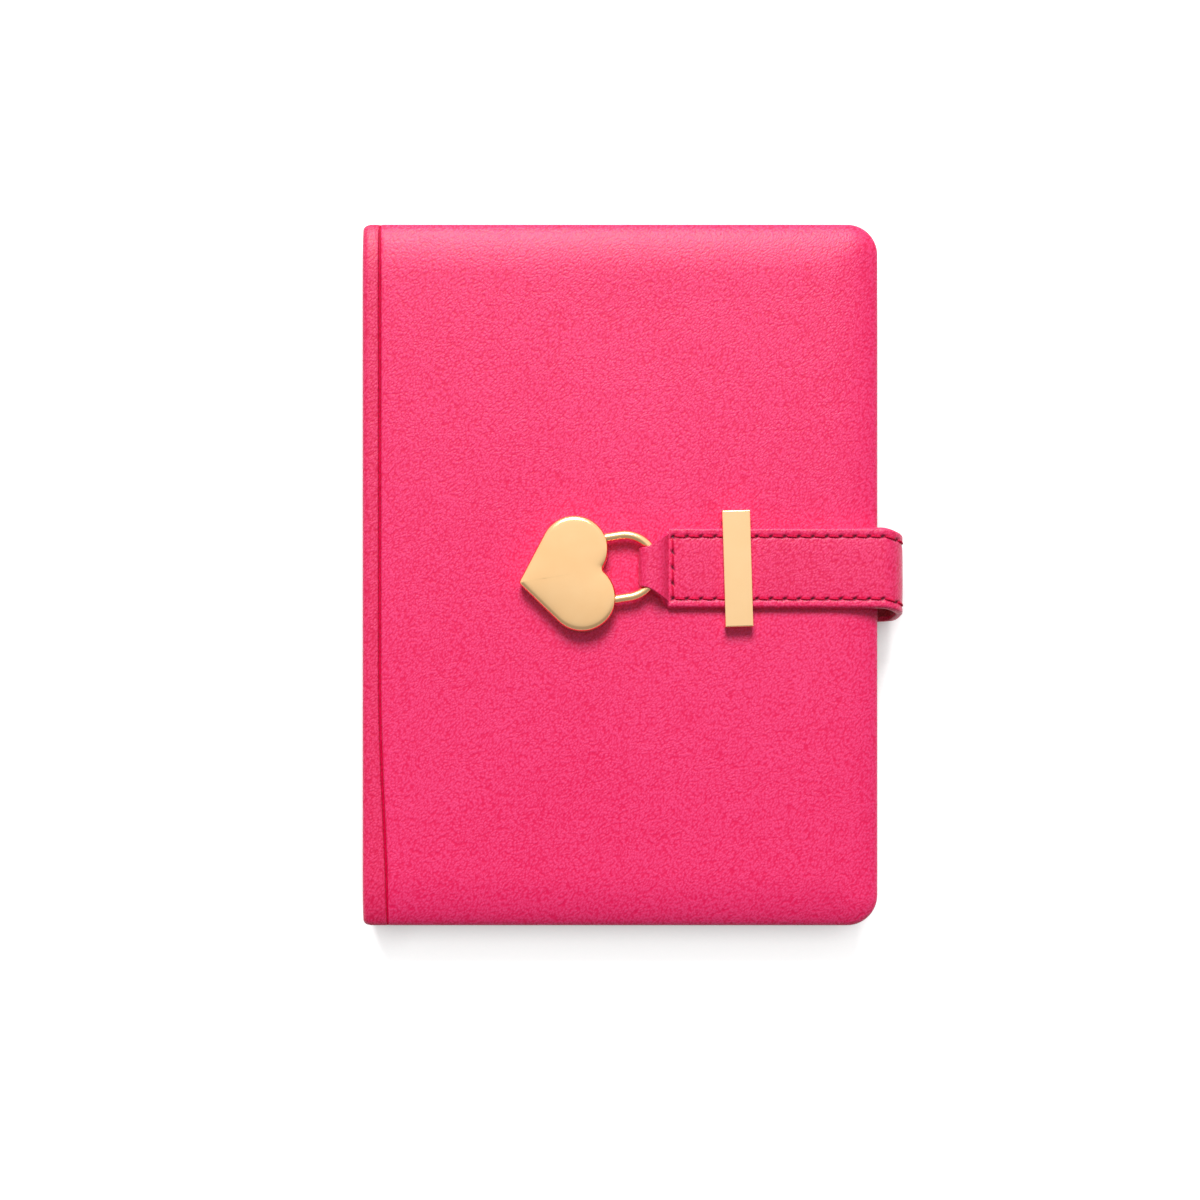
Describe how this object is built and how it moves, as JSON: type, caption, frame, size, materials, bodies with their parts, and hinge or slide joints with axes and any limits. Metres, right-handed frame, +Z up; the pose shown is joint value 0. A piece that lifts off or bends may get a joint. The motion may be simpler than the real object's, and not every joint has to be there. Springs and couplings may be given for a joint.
{
  "type": "diary with lock",
  "caption": "Padded leather diary whose strap wraps the fore-edge, passes under a keeper bar and is held by a heart shaped padlock.",
  "frame": {"origin": "middle of the closed case on the back cover's resting face", "axes": "+X from the spine to the fore-edge, +Y from tail to head, +Z up out of the front cover"},
  "size_m": [0.1416, 0.184, 0.0257],
  "materials": {
    "cover_leather": "fine grained padded imitation leather",
    "strap_leather": "fine grained imitation leather",
    "strap_lining": "smooth imitation leather",
    "thread": "sewing thread",
    "foam": "open foam sheet",
    "board": "grey pulp board",
    "endpaper": "smooth uncoated paper",
    "pages": "uncoated paper, cut edges",
    "mull": "glued gauze",
    "band": "woven tape",
    "gold": "polished pale gold plating",
    "steel": "plain"
  },
  "bodies": {
    "book": {"back_cover_leather": "cover_leather", "back_padding": "foam", "back_board": "board", "back_lining_card": "board", "back_pastedown": "endpaper", "spine_leather": "cover_leather", "spine_board": "board", "front_joint_leather": "cover_leather", "back_joint_leather": "cover_leather", "signatures": "pages", "front_flyleaf": "endpaper", "back_flyleaf": "endpaper", "spine_lining": "mull", "headband": "band", "tailband": "band", "strap_tail": "strap_leather"},
    "front_cover": {"front_cover_leather": "cover_leather", "front_padding": "foam", "front_board": "board", "front_lining_card": "board", "front_pastedown": "endpaper", "keeper_bar": "gold", "keeper_washers": "steel"},
    "strap_loop": {"strap_loop_leather": "strap_leather", "strap_loop_lining": "strap_lining"},
    "strap_run": {"strap_run_leather": "strap_leather", "strap_run_lining": "strap_lining", "strap_tab": "strap_leather", "strap_stitching": "thread"},
    "shackle": {"shackle": "gold"},
    "lock_case": {"heart_front_shell": "gold", "heart_back_plate": "gold", "case_pins": "steel", "key_post": "steel", "latch_leaf": "steel", "shackle_spring": "steel"}
  },
  "joints": [
    {"name": "cover_hinge", "type": "hinge", "parent": "book", "child": "front_cover", "pos_m": [-0.063, 0, 0.0205], "axis": [0, -1, 0], "range_deg": [0, 165], "deforming": ["front_joint_leather"]},
    {"name": "strap_lower_bend", "type": "hinge", "parent": "book", "child": "strap_loop", "pos_m": [0.07213, 0.0015, 0.00482], "axis": [0, 1, 0], "range_deg": [0, 90], "deforming": ["strap_loop_leather", "strap_loop_lining"]},
    {"name": "strap_upper_bend", "type": "hinge", "parent": "strap_loop", "child": "strap_run", "pos_m": [0.07213, 0.0015, 0.02048], "axis": [0, 1, 0], "range_deg": [0, 90], "deforming": ["strap_run_leather", "strap_run_lining", "strap_tab", "strap_stitching"]},
    {"name": "lock_swing", "type": "hinge", "parent": "front_cover", "child": "shackle", "pos_m": [0.00915, 0.00311, 0.0232], "axis": [-0.1582, 0.9874, 0], "range_deg": [0, 120]},
    {"name": "lock_release", "type": "slide", "parent": "shackle", "child": "lock_case", "axis": [-0.9874, -0.1582, 0], "range_m": [0, 0.005], "deforming": ["latch_leaf", "shackle_spring"]}
  ],
  "couplings": [
    {"joint": "strap_lower_bend", "follows": "cover_hinge", "ratio": 0.54545},
    {"joint": "strap_upper_bend", "follows": "cover_hinge", "ratio": 0.54545}
  ]
}
